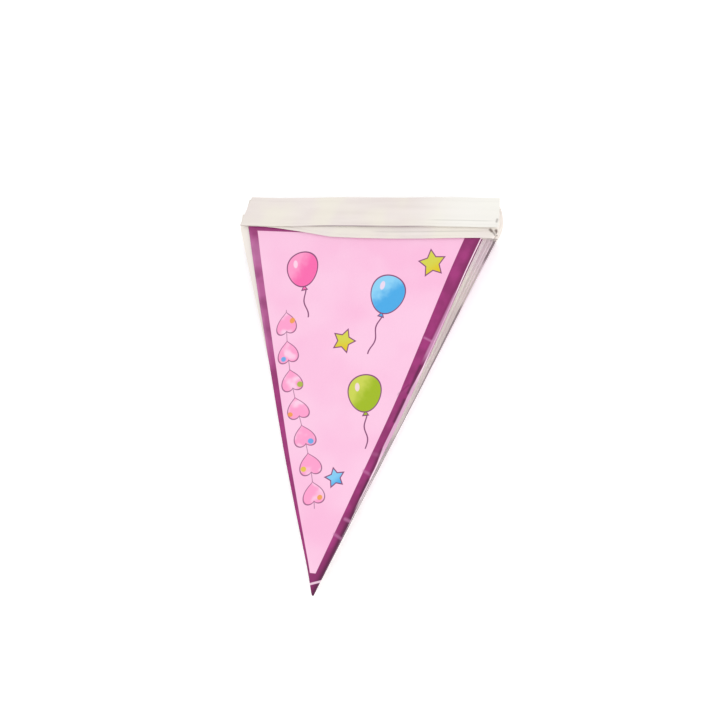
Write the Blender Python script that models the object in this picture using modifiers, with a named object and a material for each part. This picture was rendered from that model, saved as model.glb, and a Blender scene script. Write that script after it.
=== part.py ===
"""Plastic bunting, folded into a stack: a zigzag heading tape with ten pennants between its runs.

Metres, +Z up. +X runs along the heading, +Y from the pennants' tips to the heading. The stack
lies flat on z = 0, with the middle of its box over the origin.
"""

from collections import namedtuple
from math import atan2, cos, pi, radians, sin

import bpy

MM = 0.001

# Sheets
SHEET = 1.0 * MM  # thickness of the film and of the tape
CLEARANCE = 0.3 * MM  # air between two layers
PITCH = SHEET + CLEARANCE

# Pennants: a triangle below the tape, and a straight-sided tab under it
PENNANT_WIDTH = 200 * MM
PENNANT_LENGTH = 288 * MM  # below the tape
TAB_LENGTH = 12 * MM
TIP_WIDTH = 1.2 * MM
PENNANT_COLUMNS = 8
TAB_ROWS = 1
TRIANGLE_ROWS = 14

# Heading tape
TAPE_WIDTH = 24 * MM
TAPE_COLUMNS = 2
RUN_STEPS = 8
FOLD_STEPS = 6
EDGE_WAVE = 0.6 * MM  # how far the tape's long edges wander from a smooth line
EDGE_WAVE_LENGTH = 120 * MM
EDGE_WAVE_SHIFT = 5.76  # radians from one run's wave to the next one's
SAG_START = 0.12  # share of a run where it starts to sag
SAG_LOWEST = 0.42  # share of a run where it has sagged most
FOLD_BULGE = 2.5 * MM  # how far a fold around two pennants swells in the middle of its width

# The pile is thick at the heading and thin at the tips, where no tape lies between the pennants
HEADING_ZONE = 7 * MM  # the layers stay level this far below the tape
FLAT_TIP = 148 * MM  # the pennants lie close together over this length
BILLOW = 0.06  # how much thicker the loosest places are than the tightest
BILLOW_ACROSS = 190 * MM
BILLOW_ALONG = 260 * MM

# How each pennant lies, from the top of the stack down, in millimetres from the top one:
# its heading end to the right, its tip to the right, and the whole of it towards the heading.
PennantPlace = namedtuple("PennantPlace", "head tip up")
PENNANT_PLACES = (
    PennantPlace(head=0.0, tip=0.0, up=0.0),
    PennantPlace(head=-5.0, tip=-0.3, up=0.6),
    PennantPlace(head=-0.9, tip=-0.6, up=0.3),
    PennantPlace(head=1.4, tip=-1.4, up=1.4),
    PennantPlace(head=-0.8, tip=-1.7, up=0.9),
    PennantPlace(head=2.3, tip=-2.4, up=2.2),
    PennantPlace(head=0.6, tip=-2.7, up=1.5),
    PennantPlace(head=2.8, tip=-3.3, up=2.9),
    PennantPlace(head=1.2, tip=-3.7, up=2.3),
    PennantPlace(head=3.1, tip=-4.1, up=3.2),
)

# The top pennant's left edge has crept out of line: inwards near the tape, outwards below it
EDGE_CREEP = 3.6 * MM
CREEP_START = 47 * MM  # below the tape, where it lies on its line
CREEP_HALF_WAVE = 214 * MM
CREEP_FADE = 25 * MM  # the creep ends over this length above the tip

# The tape's ends and folds, from the top of the stack down, in millimetres: how far each one
# reaches past the pennants' corners, how much less far it reaches at the tape's upper edge, how
# far the tape is moved towards +Y there, and how far the run that starts there sags towards the
# tips. The first and the last are cut ends. Right and left take turns, and the first is on the
# right.
TapeTurn = namedtuple("TapeTurn", "reach slant up sag")
TAPE_TURNS = (
    TapeTurn(reach=12.6, slant=2.0, up=5.4, sag=0.0),
    TapeTurn(reach=-1.7, slant=6.5, up=0.6, sag=6.9),
    TapeTurn(reach=6.4, slant=-1.2, up=-2.2, sag=1.0),
    TapeTurn(reach=-1.0, slant=3.0, up=0.5, sag=2.0),
    TapeTurn(reach=6.9, slant=2.1, up=2.2, sag=-0.5),
    TapeTurn(reach=3.5, slant=1.0, up=-0.5, sag=1.5),
    TapeTurn(reach=4.4, slant=1.2, up=0.8, sag=0.5),
    TapeTurn(reach=5.5, slant=2.0, up=1.0, sag=-1.0),
    TapeTurn(reach=1.2, slant=-0.4, up=1.4, sag=1.5),
    TapeTurn(reach=6.5, slant=0.5, up=2.0, sag=0.0),
    TapeTurn(reach=-0.6, slant=-0.6, up=2.4, sag=1.0),
    TapeTurn(reach=6.0, slant=2.0, up=0.5, sag=-0.5),
    TapeTurn(reach=0.0, slant=0.5, up=2.8, sag=0.0),
)

PENNANTS = len(PENNANT_PLACES)
TAPE_RUNS = len(TAPE_TURNS) - 1

# Colours, linear RGB, and the finish of the films
PRINTED_PINK = (0.93, 0.55, 0.78)
PLAIN_BACK = (0.80, 0.72, 0.76)
TAPE_WHITE = (0.80, 0.74, 0.69)
PRINT_ROUGHNESS = 0.35
BACK_ROUGHNESS = 0.45
TAPE_ROUGHNESS = 0.5


def clear_scene():
    for obj in list(bpy.data.objects):
        bpy.data.objects.remove(obj, do_unlink=True)


def new_collection(name):
    collection = bpy.data.collections.new(name)
    bpy.context.scene.collection.children.link(collection)
    return collection


def film_material(name, colour, roughness):
    material = bpy.data.materials.new(name)
    material.use_nodes = True
    shader = material.node_tree.nodes["Principled BSDF"]
    shader.inputs["Base Color"].default_value = (*colour, 1.0)
    shader.inputs["Roughness"].default_value = roughness
    shader.inputs["Metallic"].default_value = 0.0
    return material


def eased(value):
    """A share from 0 to 1 with a soft start and a soft end."""
    value = min(max(value, 0.0), 1.0)
    return value * value * (3 - 2 * value)


def tape_share(y):
    """How much of the tape runs' thickness still holds two pennants apart: 1 at the heading,
    0 near the tips, and an even slope with soft ends between them."""
    start = -PENNANT_LENGTH + FLAT_TIP
    ramp = min(max((y - start) / (-HEADING_ZONE - start), 0.0), 1.0)
    return (ramp + eased(ramp)) / 2


def level(pennants_below, runs_below, x, y):
    """Height of the middle of a layer. Every layer swells by the same share of its height, so
    two layers never come nearer than the clearance."""
    flat = PITCH * (pennants_below + runs_below * tape_share(y))
    across = sin(2 * pi * x / BILLOW_ACROSS + 0.6)
    along = cos(2 * pi * y / BILLOW_ALONG)
    return SHEET / 2 + flat * (1 + BILLOW * (1 + across * along) / 2)


def grid_object(name, columns, rows, collection):
    """A flat grid from -1 to 1 both ways, for its points to be placed."""
    bpy.ops.mesh.primitive_grid_add(x_subdivisions=columns, y_subdivisions=rows, size=2)
    grid = bpy.context.object
    grid.name = name
    grid.data.name = name
    for old in grid.users_collection:
        old.objects.unlink(grid)
    collection.objects.link(grid)
    return grid


def thicken(sheet):
    solidify = sheet.modifiers.new("thickness", "SOLIDIFY")
    solidify.thickness = SHEET
    solidify.offset = 0.0
    solidify.use_even_offset = True
    sheet.data.shade_smooth()
    sheet.data.set_sharp_from_angle(angle=radians(50))


def pennant_point(across, row):
    """Where a grid point of the flat pennant goes. The rows of the tab come first."""
    if row <= TAB_ROWS:
        return across * PENNANT_WIDTH / 2, TAB_LENGTH * (1 - row / TAB_ROWS)
    down = (row - TAB_ROWS) / TRIANGLE_ROWS
    width = PENNANT_WIDTH + (TIP_WIDTH - PENNANT_WIDTH) * down
    return across * width / 2, -PENNANT_LENGTH * down


def edge_creep(height):
    """How far the top pennant's left edge lies outside its straight line."""
    below = min(max(-height, 0.0), PENNANT_LENGTH)
    wave = sin(pi * (below - CREEP_START) / CREEP_HALF_WAVE)
    return EDGE_CREEP * wave * min(1.0, (PENNANT_LENGTH - below) / CREEP_FADE)


def pennant_layers_below(number):
    """Pennants and tape runs under this pennant, counted from 1 at the top."""
    return PENNANTS - number, TAPE_RUNS - 2 * ((number + 1) // 2)


def make_pennant(number, place, collection):
    rows = TAB_ROWS + TRIANGLE_ROWS
    pennant = grid_object(f"pennant_{number:02d}", PENNANT_COLUMNS, rows, collection)
    turn = atan2((place.tip - place.head) * MM, PENNANT_LENGTH)
    pennant.rotation_euler.z = turn
    pennant.location = (place.head * MM, place.up * MM, 0)
    below = pennant_layers_below(number)
    for vertex in pennant.data.vertices:
        row = round((1 - vertex.co.y) / 2 * rows)
        u, v = pennant_point(vertex.co.x, row)
        if number == 1:
            u -= edge_creep(v) * max(-vertex.co.x, 0.0)
        x = pennant.location.x + u * cos(turn) - v * sin(turn)
        y = pennant.location.y + u * sin(turn) + v * cos(turn)
        vertex.co = (u, v, level(*below, x, y))
    thicken(pennant)
    face_up = number % 2 == 1
    colour = PRINTED_PINK if face_up else PLAIN_BACK
    roughness = PRINT_ROUGHNESS if face_up else BACK_ROUGHNESS
    pennant.data.materials.append(film_material(f"film_{number:02d}", colour, roughness))
    return pennant


def run_layers_below(run):
    """Pennants and tape runs under this run, counted from 0 at the top."""
    return PENNANTS - 2 * (run // 2), TAPE_RUNS - 1 - run


def corner_reach(turn, side):
    """How far the pennants' corners by this turn stand out, on the right (1) or left (-1)."""
    first = min(max(turn - 2, 0), PENNANTS - 1)
    heads = [place.head * MM * side for place in PENNANT_PLACES[first : first + 2]]
    return PENNANT_WIDTH / 2 + max(heads)


def turn_x(turn, across):
    """Where the tape turns back, or ends, at a share of its width from the lower edge. A fold on
    the right goes around the corners of two pennants."""
    side = 1 if turn % 2 == 0 else -1
    reach = (TAPE_TURNS[turn].reach - TAPE_TURNS[turn].slant * across) * MM
    if side > 0 and 0 < turn < TAPE_RUNS:
        reach += FOLD_BULGE * sin(pi * across)
    return side * (corner_reach(turn, side) + reach)


def sagged(share):
    """How much of its sag a run has at a share of its length: it drops soon, and comes back
    evenly."""
    drop = eased((share - SAG_START) / (SAG_LOWEST - SAG_START))
    return drop * min(1.0, (1 - share) / (1 - SAG_LOWEST))


def tape_steps():
    """The steps along the tape: the run, the share of it that is done, and the angle reached on
    the half circle that joins it to the next run."""
    steps = []
    for run in range(TAPE_RUNS):
        steps += [(run, step / RUN_STEPS, 0.0) for step in range(RUN_STEPS + 1)]
        if run < TAPE_RUNS - 1:
            steps += [(run, 1.0, pi * step / FOLD_STEPS) for step in range(1, FOLD_STEPS)]
    return steps


def tape_point(run, share, angle, across):
    """A point of the tape, at a share of its width from the lower edge."""
    start, end = turn_x(run, across), turn_x(run + 1, across)
    x = start + (end - start) * share
    moving = eased(share)
    bow = sin(pi * share)
    moved = TAPE_TURNS[run].up * (1 - moving) + TAPE_TURNS[run + 1].up * moving
    moved -= TAPE_TURNS[run].sag * sagged(share)
    wave = sin(2 * pi * x / EDGE_WAVE_LENGTH + run * EDGE_WAVE_SHIFT) * bow
    y = moved * MM - EDGE_WAVE * wave + TAPE_WIDTH * across
    top = level(*run_layers_below(run), x, y)
    if angle == 0.0:
        return x, y, top
    bottom = level(*run_layers_below(run + 1), x, y)
    radius = (top - bottom) / 2
    outward = radius * sin(angle) if end > start else -radius * sin(angle)
    return x + outward, y, bottom + radius * (1 + cos(angle))


def make_tape(collection):
    steps = tape_steps()
    tape = grid_object("heading_tape", len(steps) - 1, TAPE_COLUMNS, collection)
    for vertex in tape.data.vertices:
        index = round((vertex.co.x + 1) / 2 * (len(steps) - 1))
        vertex.co = tape_point(*steps[index], (vertex.co.y + 1) / 2)
    thicken(tape)
    tape.data.materials.append(film_material("tape_film", TAPE_WHITE, TAPE_ROUGHNESS))
    return tape


def stand_on_origin(objects, collection):
    """Parents everything to an empty that brings the middle of the whole box over the origin."""
    bpy.context.view_layer.update()
    graph = bpy.context.evaluated_depsgraph_get()
    points = []
    for obj in objects:
        solid = obj.evaluated_get(graph)
        points += [solid.matrix_world @ vertex.co for vertex in solid.data.vertices]
    stack = bpy.data.objects.new("bunting_origin", None)
    collection.objects.link(stack)
    for obj in objects:
        obj.parent = stack
    for axis in (0, 1):
        values = [point[axis] for point in points]
        stack.location[axis] = -(min(values) + max(values)) / 2


def main():
    clear_scene()
    collection = new_collection("plastic_bunting")
    pennants = [
        make_pennant(number, place, collection)
        for number, place in enumerate(PENNANT_PLACES, start=1)
    ]
    stand_on_origin([*pennants, make_tape(collection)], collection)


main()
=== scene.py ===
"""Looks of the folded plastic bunting: thin printed film pennants and their white heading tape.

Every sheet lies in the solid that it stands for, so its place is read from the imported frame.
Metres, +Z up. +X runs along the heading, +Y from the pennants' tips to the heading. The flat
coordinates of a cut sheet are kept in the UV map "flat", and the print is drawn in them.
"""

from math import atan2, cos, hypot, pi, radians, sin

import bpy
import numpy as np
from mathutils import Matrix, Vector
from mathutils.bvhtree import BVHTree


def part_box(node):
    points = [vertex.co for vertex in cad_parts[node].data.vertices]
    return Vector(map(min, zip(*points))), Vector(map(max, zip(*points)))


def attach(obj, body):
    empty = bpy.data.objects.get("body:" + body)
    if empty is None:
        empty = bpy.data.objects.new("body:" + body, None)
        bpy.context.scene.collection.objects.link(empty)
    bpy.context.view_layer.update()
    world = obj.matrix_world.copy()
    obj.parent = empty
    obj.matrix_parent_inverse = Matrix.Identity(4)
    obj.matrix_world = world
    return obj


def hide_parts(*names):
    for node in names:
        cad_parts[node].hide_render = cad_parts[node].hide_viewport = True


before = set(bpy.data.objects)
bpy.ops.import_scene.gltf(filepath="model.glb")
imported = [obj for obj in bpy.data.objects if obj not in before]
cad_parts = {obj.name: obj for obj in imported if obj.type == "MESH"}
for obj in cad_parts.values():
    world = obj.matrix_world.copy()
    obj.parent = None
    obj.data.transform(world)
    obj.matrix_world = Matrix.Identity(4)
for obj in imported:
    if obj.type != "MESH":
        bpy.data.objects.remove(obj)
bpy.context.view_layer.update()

MM = 0.001
FLAT_MAP = "flat"
TAPE = "heading_tape"
PENNANTS = sorted(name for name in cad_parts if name.startswith("pennant"))  # from the top

# The sheets, as they are cut
PENNANT_WIDTH = 200 * MM
PENNANT_LENGTH = 288 * MM  # below the tape
TAB_LENGTH = 12 * MM  # under the tape
TIP_WIDTH = 1.2 * MM
TAPE_WIDTH = 24 * MM
SOLID_SHEET = 1.0 * MM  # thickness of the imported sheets
FILM = 0.45 * MM
TAPE_FILM = 0.40 * MM
CUT_SLOPE = (PENNANT_WIDTH - TIP_WIDTH) / 2 / PENNANT_LENGTH
SHARP_EDGE = radians(60)  # edges that bend more than this aren't shaded as smooth

# How finely the pennants' solids are read, and their films are built
READ_ACROSS = 9
READ_ALONG = 17
READ_INSET = 0.985  # the outermost readings keep off the solid's edges
HAIR = 0.01 * MM  # a ray goes on this far past the face that it met
EDGE_START = 0.7  # share of the half width from where a sheet is followed to its edge
EDGE_STEP = 2 * MM
TOP_GRID = (121, 221)  # columns and rows of the top pennant
LOWER_GRID = (49, 91)

# The same for the tape
READ_STATIONS = 21
STATION_REACH = 95 * MM  # the tape's runs are read this far to each side
READ_TRIES = 24  # places across the tape that are tried for one that every run covers
TURN_SHARES = (1 / 8, 1 / 2, 7 / 8)  # of the tape's width, where a turn's place is read
TAPE_COLUMNS = 37
RUN_POINTS = 72
FOLD_POINTS = 12
FADES_PER_RUN = 14  # a run's ripples fade before a turn over the run's length divided by this
LOOSE_END = 24 * MM  # the tape's upper cut end lifts off the next run over this length
END_LIFT = 1.6 * MM

# The print's borders, in millimetres of the flat pennant: x to the right, y up from the tape's
# lower edge. Left and right are half widths of the pink field at y = 0, and what it loses with
# each millimetre below.
FIELD_LEFT = 92.1
FIELD_LEFT_SLOPE = 0.3219
FIELD_RIGHT = 86.5
FIELD_RIGHT_SLOPE = 0.3193
FIELD_TOP = -2.7
FIELD_END = -271.0
TIP_HIGHLIGHT = -278.3  # a painted highlight: a thin pale band across the tip, along a crease
TIP_HIGHLIGHT_SLOPE = 0.36
TIP_HIGHLIGHT_HALF = 0.9
PRINT_SHIFTS = (0.0, -0.6, 1.0, 1.0, 1.0)  # how far to the left each face-up pennant's print lies
LOWEST_RIM = 2.2  # width of the painted shade along the lowest pennant's cut
NO_END = 99.0  # an edge that a mask never reaches

# Stretches of the flat pennant where its edges look different: from and to in y, and how far
# both ends fade
WORN_BORDER = (-105.0, -10.0, 50.0)
WORN_CORNER = (-30.0, -10.0, 12.0)
BARE_MARGIN = (-214.0, NO_END, 18.0)  # along the right cut
WIDE_MARGIN = (-176.0, -113.0, 20.0)
# Painted reflection: a mauve gloss along the right cut over this stretch
REFLECTION_MARGIN = (-98.0, -46.0, 12.0)
SHADED_RIM = (-238.0, -162.0, 16.0)  # painted shade along the cut, on the plain side
# where the painted shade along the lowest pennant's cut is weaker
LESS_SHADED_RIM = (-52.0, -15.0, 8.0)
LILAC_TOP = (-24.0, NO_END, 18.0)

# The same with one end: from the left up to this x, or from the tip up to this y, and how far
# that end fades
LEFT_BORDER = (-30.0, 40.0)
LILAC_LEFT = (-50.0, 30.0)
DARK_TIP = (-264.0, 14.0)
# Painted shade along the right cut near the tip, up to this y
DARK_RIM = (-196.0, 12.0)

# The camera stands where the photo was taken from, above the stack's right-hand side
VIEW_AZIMUTH = radians(57.14)
VIEW_ELEVATION = radians(65)
VIEW_ROLL = radians(51.08)
VIEW_DISTANCE = 1.5
VIEW_OFFSET = Vector((4.93 * MM, -98.34 * MM))  # from the middle of the top pennant's heading
LENS = 95.27  # in millimetres, like the sensor's width
SENSOR = 36

# Gloss of the films
SPECULAR = 0.3
COAT_ROUGHNESS = 0.18
PRINT_COAT = 0.06

# The studio
LIGHTS = (
    # name, place, size and watts
    ("key", (1.1, -0.7, 1.6), 1.6, 13),
    ("fill", (-1.2, 0.9, 1.5), 2.0, 5),
)
SKY_STRENGTH = 0.8
FLOOR_SIZE = 6
FLOOR_DROP = 0.05 * MM  # keeps the floor's face off the lowest films
FLOOR_GLOW = 0.22  # as on a light table, so that the pile throws hardly any shadow
FLOOR_ROUGHNESS = 0.9
FLOOR_SPECULAR = 0.1


def srgb(red, green, blue):
    """Linear colour from 8-bit sRGB."""
    parts = (value / 255 for value in (red, green, blue))
    return tuple(p / 12.92 if p <= 0.04045 else ((p + 0.055) / 1.055) ** 2.4 for p in parts)


PINK = srgb(247, 192, 222)
PINK_DEEP = srgb(246, 182, 216)
PINK_PALE = srgb(248, 203, 228)
PURPLE = srgb(161, 48, 120)
PURPLE_DARK = srgb(118, 26, 84)
PURPLE_DEEP = srgb(84, 20, 64)
PURPLE_PALE = srgb(200, 124, 174)
PURPLE_MAUVE = srgb(210, 150, 190)
UNPRINTED = srgb(248, 216, 234)
OUTLINE = srgb(128, 66, 110)
BLUE = srgb(70, 168, 228)
BLUE_PALE = srgb(146, 212, 244)
LIME = srgb(158, 184, 20)
LIME_PALE = srgb(206, 214, 86)
YELLOW = srgb(222, 196, 14)
ORANGE = srgb(236, 156, 44)
HOT_PINK = srgb(246, 104, 172)
HOT_PINK_PALE = srgb(250, 158, 202)
FILM_BACK = srgb(243, 237, 228)
FILM_BACK_SHADE = srgb(232, 222, 218)
FILM_BACK_LILAC = srgb(244, 212, 244)
# painted shade along the cuts of face-down films
PAINTED_EDGE_SHADE = srgb(146, 132, 136)
TAPE_WHITE = srgb(234, 225, 221)
TAPE_SHADE = srgb(224, 213, 209)
TAPE_WARM = srgb(236, 231, 217)
TAPE_PALE = srgb(243, 242, 236)
# painted shadow under the edge of the tape's run above
TAPE_EDGE_SHADOW = srgb(150, 126, 140)
# painted shade in the gaps of the tape's folds
TAPE_PINCH_SHADE = srgb(88, 68, 60)
TAPE_RIDGE = srgb(158, 160, 150)
CUT_PALE = srgb(246, 238, 238)
CUT_SHADE = srgb(222, 206, 212)
FLOOR_WHITE = srgb(253, 253, 253)

# The print's motifs, and the painted highlights and painted shade of creases, in millimetres of
# the flat pennant
OUTLINE_HALF = 0.45  # half the width of the motifs' outlines
STRING_WAVE = 21  # length of a wave of a balloon's string
STAR_VALLEYS = 0.52  # how far in the valleys between a star's points are
GARLAND = ((-55, -66), (-10, -222), 7, 9.0)  # from, to, number of hearts, half width of one
GARLAND_WAVE = 1.1  # length of its slow wave, in lengths of the garland
GARLAND_SWING = 3.2
GARLAND_DOTS = (
    # share of the garland's length, place beside its line, radius and colour
    (0.06, 5.0, 2.2, ORANGE),
    (0.24, -4.0, 2.0, BLUE),
    (0.38, 6.0, 2.3, LIME),
    (0.52, -6.5, 1.9, ORANGE),
    (0.67, 4.0, 2.2, BLUE),
    (0.80, -5.5, 2.1, YELLOW),
    (0.95, 4.5, 2.0, ORANGE),
)
BALLOONS = (
    # centre, radius, lean in degrees, length of the string, colour and paler side
    ((-46, -33), 13.5, 14, 26, HOT_PINK, HOT_PINK_PALE),
    ((28, -50), 14.5, -12, 34, BLUE, BLUE_PALE),
    ((18, -128), 14.0, 10, 30, LIME, LIME_PALE),
)
STARS = (
    # centre, radius, lean in degrees, colour and paler side
    ((62, -24), 11.0, 12, YELLOW, LIME_PALE),
    ((-4, -88), 9.5, -16, YELLOW, LIME_PALE),
    ((4, -196), 8.0, 20, BLUE, BLUE_PALE),
)
CREASE_HIGHLIGHTS = (
    # start, end, half width and how strong the painted highlight along the crease is, in the flat
    # pennant
    ((62.0, -82.2), (69.2, -85.1), 0.6, 0.7),
    ((26.8, -173.9), (36.1, -175.6), 1.4, 0.2),
    ((25.0, -188.3), (31.5, -191.0), 1.0, 0.45),
    ((17.2, -227.3), (24.5, -229.8), 1.1, 0.6),
    ((10.0, -239.5), (18.2, -243.5), 1.0, 0.5),
)
CREASE_SHADES = (
    # start, end, half width and how dark the painted shade along the crease is
    ((61.0, -104.0), (53.2, -125.5), 0.9, 0.85),
    ((53.0, -119.0), (43.0, -129.0), 0.4, 0.5),
    ((51.0, -131.0), (45.2, -148.5), 0.9, 0.8),
    ((38.0, -171.0), (32.0, -191.0), 0.8, 0.55),
    ((31.0, -195.5), (26.6, -208.0), 0.8, 0.9),
)

# Marks on the tape, in millimetres of the flat tape: x from its upper cut end, y from its edge
# on the pennants' side
PRESSED_LINE = 2.6  # from each long edge
PALE_END = (52.0, 60.0)  # paler up to this x, and how far that fades
SHADOWED_EDGE = (58.0, 156.0, 28.0)  # painted shadow of the run above: from and to in x, and how far both ends fade
RIDGES = (
    # thin lines along the tape: y, start and end in x, and how dark
    (5.2, 6.0, 54.0, 0.35),
    (5.4, 330.0, 414.0, 0.35),
)
PINCH_SHADES = (
    # painted shade in short creases and gaps near its right-hand ends: start, end, half width and
    # how dark
    ((422.2, 6.6), (427.8, 2.8), 0.5, 0.7),
    ((421.6, 7.0), (423.8, 5.5), 0.8, 0.7),
    ((426.6, 6.4), (428.2, 5.0), 1.0, 0.9),
    ((1.6, 4.7), (1.2, 6.3), 0.8, 0.5),
)

# Relief of the films, in millimetres
HELD_FLAT = 4  # the top pennant is flat down to here below the tape,
SLACK_LENGTH = 30  # and fully slack this much further down
BILLOWS = 0.30  # of the top pennant
RIPPLES = 0.16
DROOP = 0.35  # along its right cut
DROOP_WIDTH = 5.0
LOWER_RIPPLES = 0.22  # of the pennants below it
LOWER_FINE_RIPPLES = 0.08
TOP_RUN_FOLDS = 0.2  # of the tape's uppermost run
TOP_RUN_WAVES = 0.4
RUN_FOLDS = 0.12  # of its other runs
RUN_WAVES = 0.1
LONG_CREASE = 0.4  # in its second run

# Creases of the top pennant's film, in millimetres of the flat pennant
CREASES = (
    # start, end, width, and height or depth
    ((60, -81), (72, -86), 1.3, 0.5),
    ((42, -129), (58, -116), 1.8, -0.8),
    ((48, -137), (43, -152), 2.2, 0.5),
    ((24, -188), (33, -191.5), 1.8, 0.4),
    ((16, -227), (26, -230.5), 1.9, 0.45),
    ((9, -239), (20, -244), 1.8, 0.4),
)


# ---------------------------------------------------------------- reading the frame


def tree_of(node):
    """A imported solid, ready for rays."""
    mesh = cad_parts[node].data
    points = [vertex.co for vertex in mesh.vertices]
    return BVHTree.FromPolygons(points, [tuple(face.vertices) for face in mesh.polygons])


def first_hit(tree, origin, direction):
    """Where a ray meets the solid first, or None."""
    return tree.ray_cast(Vector(origin), Vector(direction))[0]


def middles(tree, x, y, above):
    """Heights of the middles of the layers that a plumb line meets, from the top down."""
    heights = []
    start = above
    while True:
        place = first_hit(tree, (x, y, start), (0, 0, -1))
        if place is None:
            break
        heights.append(place.z)
        start = place.z - HAIR
    return [(top + bottom) / 2 for top, bottom in zip(heights[::2], heights[1::2])]


def smooth_weights(count, shares):
    """Catmull-Rom weights that turn `count` evenly spaced values into values at these shares."""
    weights = np.zeros((len(shares), count))
    for row, share in enumerate(shares):
        place = min(max(share, 0.0), 1.0) * (count - 1)
        first = min(int(place), count - 2)
        t = place - first
        parts = (
            (-t + 2 * t**2 - t**3) / 2,
            (2 - 5 * t**2 + 3 * t**3) / 2,
            (t + 4 * t**2 - 3 * t**3) / 2,
            (-(t**2) + t**3) / 2,
        )
        for offset, part in zip((-1, 0, 1, 2), parts):
            index = first + offset
            if index < 0:
                weights[row, 0] += 2 * part
                weights[row, 1] -= part
            elif index >= count:
                weights[row, -1] += 2 * part
                weights[row, -2] -= part
            else:
                weights[row, index] += part
    return weights


# ---------------------------------------------------------------- meshes


def grid_faces(rows, columns):
    """The corners of each face of a grid of points."""
    index = np.arange(rows * columns).reshape(rows, columns)
    corners = (index[:-1, :-1], index[1:, :-1], index[1:, 1:], index[:-1, 1:])
    return np.stack([corner.ravel() for corner in corners], axis=1)


def film_object(name, points, flat, thickness, materials):
    """A closed sheet from a grid of points in its middle, with the points' flat coordinates.

    The materials are for the face on the side of the grid's normals, for the other face and for
    the cut edge. On the pennants the first of them is the upper face.
    """
    rows, columns = points.shape[:2]
    faces = grid_faces(rows, columns)
    points[..., 2] = np.maximum(points[..., 2], thickness / 2)  # nothing dips into the floor
    mesh = bpy.data.meshes.new(name)
    mesh.from_pydata(points.reshape(-1, 3).tolist(), [], faces.tolist())
    flat_map = mesh.uv_layers.new(name=FLAT_MAP)
    flat_map.data.foreach_set("uv", flat.reshape(-1, 2)[faces.ravel()].ravel())
    sheet = bpy.data.objects.new(name, mesh)
    bpy.context.scene.collection.objects.link(sheet)
    for material in materials:
        mesh.materials.append(material)
    solidify = sheet.modifiers.new("film", "SOLIDIFY")
    solidify.thickness = thickness
    solidify.offset = 0.0
    solidify.material_offset = 1
    solidify.material_offset_rim = 2
    graph = bpy.context.evaluated_depsgraph_get()
    closed = bpy.data.meshes.new_from_object(sheet.evaluated_get(graph))
    sheet.modifiers.clear()
    sheet.data = closed
    closed.name = name
    closed.shade_smooth()
    closed.set_sharp_from_angle(angle=SHARP_EDGE)
    return sheet


# ---------------------------------------------------------------- shader arithmetic


class Field:
    """A number that varies over a surface: a socket of a material's nodes."""

    def __init__(self, tree, socket):
        self.tree = tree
        self.socket = socket

    def math(self, operation, *others):
        node = self.tree.nodes.new("ShaderNodeMath")
        node.operation = operation
        for slot, value in zip(node.inputs, (self, *others)):
            if isinstance(value, Field):
                self.tree.links.new(value.socket, slot)
            else:
                slot.default_value = value
        return Field(self.tree, node.outputs[0])

    def __add__(self, other):
        return self.math("ADD", other)

    def __sub__(self, other):
        return self.math("SUBTRACT", other)

    def __mul__(self, other):
        return self.math("MULTIPLY", other)

    def __truediv__(self, other):
        return self.math("DIVIDE", other)

    def __abs__(self):
        return self.math("ABSOLUTE")

    def root(self):
        return self.math("SQRT")

    def least(self, other):
        return self.math("MINIMUM", other)

    def most(self, other):
        return self.math("MAXIMUM", other)

    def below(self, edge, blur=0.35):
        """A mask that is 1 where the number is under the edge."""
        node = self.tree.nodes.new("ShaderNodeMapRange")
        node.interpolation_type = "SMOOTHSTEP"
        self.tree.links.new(self.socket, node.inputs["Value"])
        node.inputs["From Min"].default_value = edge - blur / 2
        node.inputs["From Max"].default_value = edge + blur / 2
        node.inputs["To Min"].default_value = 1.0
        node.inputs["To Max"].default_value = 0.0
        return Field(self.tree, node.outputs["Result"])

    def between(self, low, high, blur=0.35):
        """A mask that is 1 between two edges."""
        return self.below(high, blur) * (self.below(low, blur) * -1 + 1)


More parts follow.
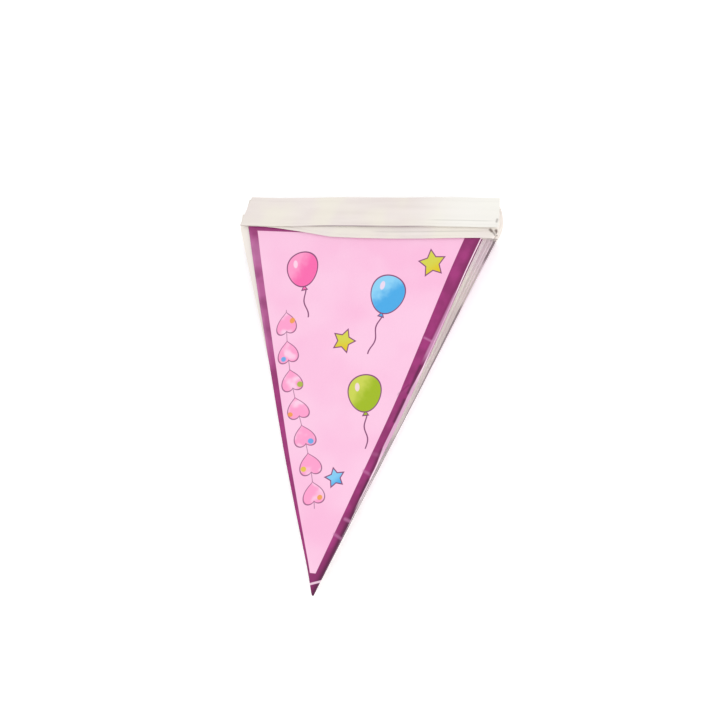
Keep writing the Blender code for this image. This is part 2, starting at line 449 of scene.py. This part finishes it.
class Film:
    """The nodes of one film's material, with the flat coordinates x and y in millimetres."""

    def __init__(self, name):
        self.material = bpy.data.materials.new(name)
        self.material.use_nodes = True
        self.tree = self.material.node_tree
        self.shader = self.tree.nodes["Principled BSDF"]
        flat = self.tree.nodes.new("ShaderNodeUVMap")
        flat.uv_map = FLAT_MAP
        parts = self.tree.nodes.new("ShaderNodeSeparateXYZ")
        self.tree.links.new(flat.outputs["UV"], parts.inputs["Vector"])
        self.x = Field(self.tree, parts.outputs["X"]) * (1 / MM)
        self.y = Field(self.tree, parts.outputs["Y"]) * (1 / MM)

    def cut_distance(self, side):
        """Distance from the cut edge on the right (1) or on the left (-1)."""
        away = self.x * -side + self.y * CUT_SLOPE + PENNANT_WIDTH / MM / 2
        return away / hypot(1.0, CUT_SLOPE)

    def noise(self, size, stretch=(1.0, 1.0), detail=2.0, shift=0.0):
        """Soft noise from 0 to 1, with blots of about this size in millimetres."""
        place = self.tree.nodes.new("ShaderNodeCombineXYZ")
        for slot, value, factor in zip(place.inputs, (self.x, self.y), stretch):
            self.tree.links.new((value * (1 / (size * factor))).socket, slot)
        place.inputs["Z"].default_value = shift
        node = self.tree.nodes.new("ShaderNodeTexNoise")
        node.inputs["Scale"].default_value = 1.0
        node.inputs["Detail"].default_value = detail
        self.tree.links.new(place.outputs["Vector"], node.inputs["Vector"])
        return Field(self.tree, node.outputs["Fac"])

    def mixed(self, under, colour, mask):
        """A colour laid over another one where the mask is 1."""
        node = self.tree.nodes.new("ShaderNodeMix")
        node.data_type = "RGBA"
        self.tree.links.new(mask.socket, node.inputs["Factor"])
        for slot, value in ((node.inputs["A"], under), (node.inputs["B"], colour)):
            if isinstance(value, tuple):
                slot.default_value = (*value, 1.0)
            else:
                self.tree.links.new(value, slot)
        return node.outputs["Result"]

    def finish(self, colour, roughness, relief, depth, coat=0.0):
        """Connects the colour, the roughness and the relief, whose depth is in millimetres."""
        self.tree.links.new(colour, self.shader.inputs["Base Color"])
        self.tree.links.new(roughness.socket, self.shader.inputs["Roughness"])
        bump = self.tree.nodes.new("ShaderNodeBump")
        bump.inputs["Distance"].default_value = depth * MM
        self.tree.links.new(relief.socket, bump.inputs["Height"])
        self.tree.links.new(bump.outputs["Normal"], self.shader.inputs["Normal"])
        self.shader.inputs["Specular IOR Level"].default_value = SPECULAR
        self.shader.inputs["Coat Weight"].default_value = coat
        self.shader.inputs["Coat Roughness"].default_value = COAT_ROUGHNESS
        return self.material


# ---------------------------------------------------------------- the print


def turned(film, centre, degrees):
    """Coordinates of a motif that stands at this place, turned to the left."""
    c = cos(radians(degrees))
    s = sin(radians(degrees))
    x = film.x - centre[0]
    y = film.y - centre[1]
    return x * c + y * s, y * c - x * s


def filled_shape(film, under, distance, colour, pale, light):
    """Fills a shape, with a paler side, and draws its outline along its edge, at distance 0."""
    filled = film.mixed(colour, pale, light)
    under = film.mixed(under, filled, distance.below(0.0))
    return film.mixed(under, OUTLINE, distance.between(-OUTLINE_HALF, OUTLINE_HALF))


def balloon(film, under, centre, radius, degrees, string, colour, pale):
    """A round balloon with its knot, its gleam and a waving string below it."""
    x, y = turned(film, centre, degrees)
    wave = (y * (2 * pi / STRING_WAVE)).math("SINE") * 1.3
    line = abs(x - wave).below(0.55) * y.between(-radius - string, -radius - 2)
    under = film.mixed(under, OUTLINE, line)
    knot = (abs(x) + (y + radius - 0.5) * 0.6).most((y + radius + 3.4) * -1)
    narrow = x * (y * (-0.14 / radius) + 1.0)
    body = (narrow * narrow + y * y * 0.84).root() - radius * 0.96
    light = y * 0.5 - x * 0.6 + film.noise(5, detail=1.0) * 7 - 3.5
    light = light.between(2.0, NO_END, 9.0)
    under = filled_shape(film, under, knot, colour, pale, light)
    under = filled_shape(film, under, body, colour, pale, light * 0.85)
    gleam_x = x + radius * 0.42
    gleam_y = y - radius * 0.40
    gleam = (gleam_x * gleam_x * 5 + gleam_y * gleam_y * 1.6).root()
    return film.mixed(under, UNPRINTED, gleam.below(radius * 0.3, 1.2) * 0.8)


def star(film, under, centre, radius, degrees, colour, pale):
    """A five-pointed star. Each half point is one straight edge from its tip to a valley."""
    x, y = turned(film, centre, degrees)
    away = (x * x + y * y).root()
    turn = x.math("ARCTAN2", y).math("PINGPONG", pi / 5)
    inner = STAR_VALLEYS * radius
    valley = (inner * cos(pi / 5), inner * sin(pi / 5))
    side = hypot(radius - valley[0], valley[1])
    normal = (valley[1] / side, (radius - valley[0]) / side)
    edge = (away * turn.math("COSINE") - radius) * normal[0]
    edge = edge + away * turn.math("SINE") * normal[1]
    light = (y - x * 0.4).between(-radius * 0.3, NO_END, radius)
    return filled_shape(film, under, edge, colour, pale, light * 0.7)


def heart_edge(x, y, size):
    """About how far a place is outside a heart of this half width."""
    u = x / size
    v = y / size * 1.08 - abs(u).math("POWER", 0.62) * 0.66 + 0.28
    return ((u * u + v * v).root() - 0.92) * size


def garland(film, under, start, end, count, size):
    """A row of outlined hearts on a thin line, with small dots of several colours on them."""
    span = Vector(end) - Vector(start)
    pitch = span.length / count
    x, y = turned(film, start, np.degrees(atan2(span.y, span.x)))
    swing = (x * (2 * pi / span.length / GARLAND_WAVE)).math("SINE") * GARLAND_SWING
    y = y + swing
    inside = x.between(0.0, span.length)
    cell = x.math("FLOORED_MODULO", pitch) - pitch / 2
    under = film.mixed(under, OUTLINE, abs(y).below(0.3) * inside * 0.7)
    edge = heart_edge(y * -1, cell, size)
    tone = film.noise(9, detail=1.0)
    heart = film.mixed(PINK_PALE, HOT_PINK_PALE, tone.between(0.42, NO_END, 0.25))
    under = film.mixed(under, heart, edge.below(0.0) * inside)
    under = film.mixed(under, OUTLINE, abs(edge).below(0.42) * inside * 0.85)
    for share, beside, radius, colour in GARLAND_DOTS:
        dot_x = x - share * span.length
        dot_y = y - beside
        dot = (dot_x * dot_x + dot_y * dot_y).root()
        under = film.mixed(under, colour, dot.below(radius, 0.7) * 0.9)
    return under


def crease_distance(film, start, end):
    """Distance from a straight crease between two places of the flat film."""
    span = Vector(end) - Vector(start)
    x, y = turned(film, start, np.degrees(atan2(span.y, span.x)))
    past = (x * -1).most(x - span.length).most(0.0)
    return (past * past + y * y).root()


def field_colour(film):
    """The pink field, a little uneven, with its motifs."""
    tone = film.noise(70, detail=1.0)
    colour = film.mixed(PINK, PINK_DEEP, tone.between(0.50, NO_END, 0.3) * 0.7)
    paler = film.noise(52, shift=7.0).between(0.5, NO_END, 0.3)
    colour = film.mixed(colour, PINK_PALE, paler * 0.7)
    colour = garland(film, colour, *GARLAND)
    for row in BALLOONS:
        colour = balloon(film, colour, *row)
    for row in STARS:
        colour = star(film, colour, *row)
    return colour


def border_colour(film, cut):
    """The purple border. It is worn on the left and darker towards the tip, with painted shade
    towards the right cut and a painted highlight across the tip.
    """
    # Painted shade: the border darkens towards the right cut, where the film droops away from the
    # light
    border_tone = film.mixed(PURPLE, PURPLE_DARK, cut.below(3.2, 5.0) * 0.85)
    left = film.x.below(*LEFT_BORDER)
    worn = film.y.between(*WORN_BORDER)
    border_tone = film.mixed(border_tone, PURPLE_PALE, left * worn * 0.4)
    border_tone = film.mixed(border_tone, PURPLE_PALE, film.cut_distance(-1).below(1.4, 2.4) * worn * 0.7)
    uneven = film.noise(14, shift=3.0).between(0.5, NO_END, 0.3)
    border_tone = film.mixed(border_tone, PURPLE_DARK, uneven * 0.5)
    border_tone = film.mixed(border_tone, PURPLE_PALE, left * film.y.between(*WORN_CORNER) * 0.5)
    border_tone = film.mixed(border_tone, PURPLE_DEEP, film.y.below(*DARK_TIP) * 0.4)
    # Painted shade: a deep purple rim along the right cut above the tip, the shaded side of the
    # stack
    border_tone = film.mixed(border_tone, PURPLE_DEEP, cut.below(1.9, 2.6) * film.y.below(*DARK_RIM) * 0.85)
    # Painted highlight: a thin pale band across the tip, along a crease in the film
    band = film.y - film.x * TIP_HIGHLIGHT_SLOPE - TIP_HIGHLIGHT
    return film.mixed(border_tone, UNPRINTED, band.between(-TIP_HIGHLIGHT_HALF, TIP_HIGHLIGHT_HALF) * 0.8)


def print_and_painted_light(film):
    """The whole print: field, border and the bare margin at the right cut, with a painted
    reflection along that cut and painted highlights and shade along creases.
    """
    left = film.x * -1 - film.y * FIELD_LEFT_SLOPE - FIELD_LEFT
    right = film.x - film.y * FIELD_RIGHT_SLOPE - FIELD_RIGHT
    sides = left.most(right) / hypot(1.0, CUT_SLOPE)
    outside = sides.most(film.y - FIELD_TOP).most(film.y * -1 + FIELD_END)
    cut = film.cut_distance(1)
    printed = outside.below(0.0) * -1 + 1
    colour = film.mixed(field_colour(film), border_colour(film, cut), printed)

    # The margin is wider and more tinted halfway down
    wider = film.y.between(*WIDE_MARGIN)
    bare = film.mixed(UNPRINTED, PURPLE_MAUVE, wider * 0.75)
    margin = (cut - wider * 1.7).below(0.8) * film.y.between(*BARE_MARGIN)
    colour = film.mixed(colour, bare, margin)
    # Painted reflection: a mauve gloss on the film along the right cut
    painted_reflection = (cut + film.y * 0.031).below(0.2, 1.6) * film.y.between(*REFLECTION_MARGIN)
    colour = film.mixed(colour, PURPLE_MAUVE, painted_reflection * 0.7)

    inked = outside.between(-1.0, NO_END)
    # Painted highlights and painted shade along creases, on the border
    for creases, tint in ((CREASE_HIGHLIGHTS, PURPLE_PALE), (CREASE_SHADES, PURPLE_DEEP)):
        for start, end, half_width, strength in creases:
            mask = crease_distance(film, start, end).below(half_width, half_width + 1.2)
            colour = film.mixed(colour, tint, mask * inked * strength)
    return colour


def film_relief(film):
    """Fine crinkles of thin plastic film, from 0 to 1."""
    return film.noise(18, (1.0, 1.8), 3.0) * 0.7 + film.noise(3.2, (1.0, 1.6), 2.0, 5.0) * 0.3


def make_print():
    """The printed side of the film."""
    film = Film("printed_face")
    roughness = film.noise(24, detail=3.0, shift=2.0) * 0.16 + 0.27
    return film.finish(print_and_painted_light(film), roughness, film_relief(film), 0.6, PRINT_COAT)


def make_back(name, rim=0.0):
    """The plain side of the film. Painted shade greys it along the cut that is on the right when
    it lies face down: over this width in millimetres, and over a fixed one above the tip."""
    film = Film(name)
    tone = film.noise(26, (0.6, 2.2)).between(0.45, NO_END, 0.3)
    colour = film.mixed(FILM_BACK, FILM_BACK_SHADE, tone * 0.6)
    lilac = film.x.below(*LILAC_LEFT) * film.y.between(*LILAC_TOP)
    colour = film.mixed(colour, FILM_BACK_LILAC, lilac * 0.3)
    cut = film.cut_distance(-1)
    # Painted shade along the right cut, where the edges of the stack lie in shade
    edge_shade = cut.below(rim, 0.8) * (film.y.between(*LESS_SHADED_RIM) * -0.75 + 1)
    edge_shade = edge_shade.most(cut.below(1.6, 1.2) * film.y.between(*SHADED_RIM))
    colour = film.mixed(colour, PAINTED_EDGE_SHADE, edge_shade * (film.noise(24, shift=9.0) * 0.5 + 0.55))
    roughness = film.noise(20, detail=3.0, shift=2.0) * 0.16 + 0.36
    return film.finish(colour, roughness, film_relief(film), 0.6)


def make_cut_edge():
    """The cut edge of a film that lies face down. The others are printed to the very edge."""
    film = Film("cut_edge")
    colour = film.mixed(CUT_PALE, CUT_SHADE, film.noise(6, shift=4.0))
    roughness = film.noise(9, shift=1.0) * 0.2 + 0.4
    return film.finish(colour, roughness, film.noise(2.0), 0.1)


def make_tape_material():
    """White film in soft folds along the tape, with a heat-pressed line near its long edges."""
    film = Film("tape_face")
    folds = film.noise(7, (9.0, 1.0), 1.5)
    colour = film.mixed(TAPE_WHITE, TAPE_SHADE, folds.between(0.5, NO_END, 0.35) * 0.5)
    warm = film.noise(34, shift=6.0).between(0.5, NO_END, 0.3)
    colour = film.mixed(colour, TAPE_WARM, warm * 0.7)
    colour = film.mixed(colour, TAPE_PALE, film.x.below(*PALE_END) * 0.8)
    # Painted shadow: a dark line along the edge on the pennants' side, where the top run's edge
    # lies over the next run
    edge_shadow = film.x.between(*SHADOWED_EDGE) * (film.noise(40, shift=11.0) * 0.7 + 0.45)
    colour = film.mixed(colour, TAPE_EDGE_SHADOW, film.y.below(0.55, 0.7) * edge_shadow)
    for place, start, end, strength in RIDGES:
        ridge = abs(film.y - place).below(0.3, 0.8) * film.x.between(start, end, 14.0)
        colour = film.mixed(colour, TAPE_RIDGE, ridge * strength)
    # Painted shade in the creases and gaps of the tape's folded ends
    for start, end, half_width, strength in PINCH_SHADES:
        pinch_shade = crease_distance(film, start, end).below(half_width, half_width + 0.8)
        colour = film.mixed(colour, TAPE_PINCH_SHADE, pinch_shade * strength)
    roughness = film.noise(12, (3.0, 1.0), 3.0, 2.0) * 0.2 + 0.34
    edge = film.y.least(film.y * -1 + TAPE_WIDTH / MM)
    pressed = abs(edge - PRESSED_LINE).below(0.45, 0.5) * -0.12
    relief = folds * 0.5 + film.noise(16, (2.6, 0.8), 2.0, 8.0) * 0.5 + pressed
    return film.finish(colour, roughness, relief, 0.9)


# ---------------------------------------------------------------- pennants


def pennant_place(node):
    """Where a pennant lies: the middle of its heading at the tape's edge, and its directions
    to the right and up."""
    points = [vertex.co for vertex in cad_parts[node].data.vertices]
    right = max(points, key=lambda point: point.x + point.y)
    left = max(points, key=lambda point: point.y - point.x)
    across = (right - left).xy.normalized()
    up = Vector((-across.y, across.x))
    return right.xy - across * PENNANT_WIDTH / 2 - up * TAB_LENGTH, across, up


def half_width(y):
    """Half the width of the flat pennant at this height or at these heights."""
    share = np.clip(-y / PENNANT_LENGTH, 0.0, 1.0)
    return (PENNANT_WIDTH + (TIP_WIDTH - PENNANT_WIDTH) * share) / 2


def pennant_rows(count):
    """Heights of the flat pennant's rows, one of which is at the tape's edge."""
    tab = max(2, round(count * TAB_LENGTH / (TAB_LENGTH + PENNANT_LENGTH)))
    below = np.linspace(0.0, -PENNANT_LENGTH, count - tab)
    return np.concatenate([np.linspace(TAB_LENGTH, 0.0, tab, endpoint=False), below])


def read_solid(node, place, across, up, rows, shares):
    """Heights of the middle of a pennant's solid at the film's points, and how far the solid's
    left and right edges lie outside the flat pennant's. Both are read coarsely and smoothed."""
    tree = tree_of(node)
    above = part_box(node)[1].z + MM
    heights = np.zeros((READ_ALONG, READ_ACROSS))
    creep = np.zeros((READ_ALONG, 2))
    for i, along in enumerate(np.linspace(0.0, 1.0, READ_ALONG)):
        y = TAB_LENGTH - (0.5 + (along - 0.5) * READ_INSET) * (TAB_LENGTH + PENNANT_LENGTH)
        half = half_width(y)
        for side in (0, 1):
            outward = across * (2 * side - 1)
            inner = place + up * y + outward * half * EDGE_START
            z = middles(tree, inner.x, inner.y, above)[0]
            creep[i, side] = (edge_place(tree, inner, outward, z) - place).dot(outward) - half
        left, right = -half - creep[i, 0], half + creep[i, 1]
        for j, share in enumerate(np.linspace(0.0, 1.0, READ_ACROSS)):
            x = left + (right - left) * (0.5 + (share - 0.5) * READ_INSET)
            point = place + across * x + up * y
            heights[i, j] = middles(tree, point.x, point.y, above)[0]
    along_shares = (TAB_LENGTH - rows) / (TAB_LENGTH + PENNANT_LENGTH)
    down = smooth_weights(READ_ALONG, along_shares)
    return down @ heights @ smooth_weights(READ_ACROSS, (shares + 1) / 2).T, down @ creep


def edge_place(tree, inner, outward, z):
    """Where a sheet's edge is in this direction. It is followed along its middle in steps."""
    point = inner
    while True:
        ahead = point + outward * EDGE_STEP
        found = middles(tree, ahead.x, ahead.y, z + EDGE_STEP)
        if not found:
            break
        point, z = ahead, found[0]
    place = first_hit(tree, (point.x, point.y, z), (outward.x, outward.y, 0))
    return place.xy


def bell(value, width):
    """A soft bump of height 1."""
    return np.exp(-((value / width) ** 2))


def top_relief(x, y):
    """How far the top pennant's film stands off its solid, all in millimetres."""
    slack = np.clip((-HELD_FLAT - y) / SLACK_LENGTH, 0.0, 1.0)
    soft = BILLOWS * np.sin(x / 17 + y / 41 + 0.6) * np.sin(y / 33 - x / 60)
    soft += RIPPLES * np.sin(x / 7.5 - y / 19) * np.sin(y / 23 + 1.2)
    relief = soft * slack
    from_cut = half_width(y * MM) / MM - x  # on the right
    for start, end, width, height in CREASES:
        span = Vector(end) - Vector(start)
        along = ((x - start[0]) * span.x + (y - start[1]) * span.y) / span.length_squared
        off = ((x - start[0]) * span.y - (y - start[1]) * span.x) / span.length
        relief += height * bell(off, width) * bell(along - 0.6, 0.6)
    uneven = 1 + 0.6 * np.sin(y / 12.0)
    relief -= DROOP * bell(from_cut, DROOP_WIDTH) * slack * uneven
    return relief


def lower_relief(number):
    """Small ripples of a pennant inside the stack, which keep clear of its neighbours."""

    def relief(x, y):
        phase = 1.7 * number
        ripple = np.sin(y / (14 + number % 3) + phase) * np.sin(x / 31 + phase)
        return LOWER_RIPPLES * ripple + LOWER_FINE_RIPPLES * np.sin(y / 5.3 + 2 * phase)

    return relief


def make_pennant(number, node, grid, relief, materials):
    """The film of one pennant, counted from the top. Every second one lies face down."""
    columns, row_count = grid
    place, across, up = pennant_place(node)
    rows = pennant_rows(row_count)
    shares = np.linspace(-1.0, 1.0, columns)
    x = shares[None, :] * half_width(rows)[:, None]
    y = np.broadcast_to(rows[:, None], x.shape)
    z, creep = read_solid(node, place, across, up, rows, shares)
    laid = x + shares.clip(0, 1) * creep[:, 1:] - (-shares).clip(0, 1) * creep[:, :1]
    z = z - (SOLID_SHEET - FILM) / 2 + relief(x / MM, y / MM) * MM
    points = np.stack(
        [place.x + across.x * laid + up.x * y, place.y + across.y * laid + up.y * y, z], axis=2
    )
    face_up = number % 2 == 1
    # The flat pennant is seen from its printed side, so one that lies face down is mirrored
    flat_x = x + PRINT_SHIFTS[number // 2] * MM if face_up else -x
    flat = np.stack([flat_x, y], axis=2)
    print_face, back, edge = materials
    faces = (print_face, back, print_face) if face_up else (back, print_face, edge)
    film = film_object(f"pennant_film_{number:02d}", points, flat, FILM, faces)
    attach(film, "root")
    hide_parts(node)
    return film


# ---------------------------------------------------------------- heading tape


class TapeShape:
    """The tape's runs and turns, as the solid has them."""

    def __init__(self):
        low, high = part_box(TAPE)
        self.tree = tree_of(TAPE)
        self.middle_y = self.common_middle(low, high)
        self.stations = np.linspace(-STATION_REACH, STATION_REACH, READ_STATIONS)
        above = high.z + MM
        heights = [middles(self.tree, x, self.middle_y, above) for x in self.stations]
        self.heights = np.array(heights).T  # a row for each run
        self.runs = len(self.heights)
        self.low_edge = self.edges(low.y - MM, 1)
        self.high_edge = self.edges(high.y + MM, -1)
        self.turns = [self.turn_ends(turn, low, high) for turn in range(self.runs + 1)]

    def common_middle(self, low, high):
        """A place across the tape that every run covers: where most layers are met."""
        tries = np.linspace(low.y, high.y, READ_TRIES)
        counts = [len(middles(self.tree, 0.0, y, high.z + MM)) for y in tries]
        full = [y for y, count in zip(tries, counts) if count == max(counts)]
        return sum(full) / len(full)

    def edges(self, start, sign):
        """Each run's edge, met from this y in this direction, at the stations."""
        found = np.zeros_like(self.heights)
        for run, heights in enumerate(self.heights):
            for i, (x, z) in enumerate(zip(self.stations, heights)):
                found[run, i] = first_hit(self.tree, (x, start, z), (0, sign, 0)).y
        return found

    def turn_ends(self, turn, low, high):
        """Where the tape ends or turns back: a curve over the shares of its width."""
        side = 1 if turn % 2 == 0 else -1
        station = -1 if side > 0 else 0
        runs = max(turn - 1, 0), min(turn, self.runs - 1)
        z = sum(self.heights[run, station] for run in runs) / 2
        start = high.x + MM if side > 0 else low.x - MM
        bottom = max(self.low_edge[run, station] for run in runs)
        top = min(self.high_edge[run, station] for run in runs)
        places = [
            first_hit(self.tree, (start, bottom + (top - bottom) * share, z), (-side, 0, 0)).x
            for share in TURN_SHARES
        ]
        return np.polyfit(TURN_SHARES, places, 2)

    def at(self, table, run, x):
        """A number of this run between the stations."""
        return np.interp(x, self.stations, table[run])


def tape_relief(run, x, across):
    """Ripples of a run, in millimetres, from its place along the tape and its share across."""
    phase = 2.1 * run
    wave = np.sin(x / 23 + phase) * np.sin(across * pi)
    fold = np.sin(across * 21 + 0.9 * np.sin(x / 47 + phase) + x / 60 + phase)
    if run == 0:
        uneven = 0.7 + 0.3 * np.sin(x / 51 + 1)
        return TOP_RUN_FOLDS * fold * uneven + TOP_RUN_WAVES * wave
    relief = RUN_FOLDS * fold + RUN_WAVES * wave
    if run == 1:
        crease = bell(across - 0.27 + (x - 60) / 1600, 0.035)
        relief -= LONG_CREASE * crease * np.clip((x - 10) / 40, 0.0, 1.0)
    return relief


def turn_radius(shape, turn, side):
    """Half the distance between the two runs that a turn joins, or 0 at a cut end."""
    if turn in (0, shape.runs):
        return 0.0
    station = -1 if side > 0 else 0
    return (shape.heights[turn - 1, station] - shape.heights[turn, station]) / 2


def tape_points(shape):
    """The grid of the tape's middle surface, from its upper cut end to the lower one."""
    across = np.linspace(0.0, 1.0, TAPE_COLUMNS)
    lower = (SOLID_SHEET - TAPE_FILM) / 2  # the film lies on the bottom of its solid
    rows = []
    for run in range(shape.runs):
        start = np.polyval(shape.turns[run], across)
        end = np.polyval(shape.turns[run + 1], across)
        forward = 1 if end[0] > start[0] else -1
        radius = turn_radius(shape, run + 1, forward)
        start = start + forward * turn_radius(shape, run, -forward)
        end = end - forward * radius
        for share in np.linspace(0.0, 1.0, RUN_POINTS):
            x = start + (end - start) * share
            from_turn = min(share, 1 - share) if run else 1 - share
            ripple = tape_relief(run, x / MM, across) * min(1.0, from_turn * FADES_PER_RUN)
            low = shape.at(shape.low_edge, run, x)
            high = shape.at(shape.high_edge, run, x)
            z = shape.at(shape.heights, run, x) - lower + ripple * MM
            if run == 0:
                loose = np.clip(1 - (start - x) / LOOSE_END, 0.0, 1.0)
                z = z + END_LIFT * loose**2 * (1 - across / 2)
            rows.append(np.stack([x, low + (high - low) * across, z], axis=1))
        if run == shape.runs - 1:
            break
        # The turn into the next run is half a circle
        last = rows[-1]
        low = shape.at(shape.low_edge, run + 1, end)
        high = shape.at(shape.high_edge, run + 1, end)
        next_y = low + (high - low) * across
        next_z = shape.at(shape.heights, run + 1, end) - lower
        for step in range(1, FOLD_POINTS):
            angle = pi * step / FOLD_POINTS
            down = (1 - cos(angle)) / 2
            x = end + forward * radius * sin(angle)
            y = last[:, 1] + (next_y - last[:, 1]) * down
            z = last[:, 2] + (next_z - last[:, 2]) * down
            rows.append(np.stack([x, y, z], axis=1))
    return np.array(rows)


def make_tape(material):
    """The folded tape's film, and the length of the flat tape."""
    points = tape_points(TapeShape())
    middle = points[:, TAPE_COLUMNS // 2]
    steps = np.linalg.norm(np.diff(middle, axis=0), axis=1)
    along = np.concatenate([[0.0], np.cumsum(steps)])
    across = np.linspace(0.0, TAPE_WIDTH, TAPE_COLUMNS)
    flat = np.stack(np.broadcast_arrays(along[:, None], across[None, :]), axis=2)
    tape = film_object("heading_tape_film", points, flat, TAPE_FILM, (material,) * 3)
    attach(tape, "root")
    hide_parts(TAPE)
    return tape, along[-1]


# ---------------------------------------------------------------- stage, lights, camera


def make_floor():
    bpy.ops.mesh.primitive_plane_add(size=FLOOR_SIZE, location=(0, 0, -FLOOR_DROP))
    floor = bpy.context.object
    floor.name = "floor"
    material = bpy.data.materials.new("floor")
    material.use_nodes = True
    shader = material.node_tree.nodes["Principled BSDF"]
    shader.inputs["Base Color"].default_value = (*FLOOR_WHITE, 1.0)
    shader.inputs["Roughness"].default_value = FLOOR_ROUGHNESS
    shader.inputs["Specular IOR Level"].default_value = FLOOR_SPECULAR
    shader.inputs["Emission Color"].default_value = (1.0, 1.0, 1.0, 1.0)
    shader.inputs["Emission Strength"].default_value = FLOOR_GLOW
    floor.data.materials.append(material)


def area_light(name, location, size, watts):
    """A soft light that faces the stack."""
    light = bpy.data.lights.new(name, "AREA")
    light.energy = watts
    light.size = size
    lamp = bpy.data.objects.new(name, light)
    lamp.location = location
    lamp.rotation_euler = (-Vector(location)).to_track_quat("-Z", "Y").to_euler()
    bpy.context.scene.collection.objects.link(lamp)


def make_lights():
    world = bpy.data.worlds.new("studio")
    bpy.context.scene.world = world
    world.use_nodes = True
    background = world.node_tree.nodes["Background"]
    background.inputs["Color"].default_value = (1.0, 1.0, 1.0, 1.0)
    background.inputs["Strength"].default_value = SKY_STRENGTH
    for row in LIGHTS:
        area_light(*row)


def make_camera():
    """A high view of the stack's right-hand side, rolled until the tips point down."""
    back = Vector((
        cos(VIEW_ELEVATION) * sin(VIEW_AZIMUTH),
        -cos(VIEW_ELEVATION) * cos(VIEW_AZIMUTH),
        sin(VIEW_ELEVATION),
    ))
    level = Vector((cos(VIEW_AZIMUTH), sin(VIEW_AZIMUTH), 0))
    upright = back.cross(level)
    right = cos(VIEW_ROLL) * level - sin(VIEW_ROLL) * upright
    up = sin(VIEW_ROLL) * level + cos(VIEW_ROLL) * upright
    place = Matrix((right, up, back)).transposed().to_4x4()
    target = (pennant_place(PENNANTS[0])[0] + VIEW_OFFSET).to_3d()
    place.translation = target + back * VIEW_DISTANCE
    data = bpy.data.cameras.new("camera")
    data.lens = LENS
    data.sensor_width = SENSOR
    camera = bpy.data.objects.new("camera", data)
    camera.matrix_world = place
    bpy.context.scene.collection.objects.link(camera)
    bpy.context.scene.camera = camera


# ---------------------------------------------------------------- everything together


def main():
    printed = make_print()
    back = make_back("plain_face")
    lowest_back = make_back("plain_face_lowest", LOWEST_RIM)
    cut_edge = make_cut_edge()
    tape, tape_length = make_tape(make_tape_material())
    for number, node in enumerate(PENNANTS, start=1):
        top = number == 1
        grid = TOP_GRID if top else LOWER_GRID
        relief = top_relief if top else lower_relief(number)
        plain = lowest_back if number == len(PENNANTS) else back
        make_pennant(number, node, grid, relief, (printed, plain, cut_edge))
    make_floor()
    make_lights()
    make_camera()
    bpy.context.scene.view_settings.view_transform = "Standard"


main()
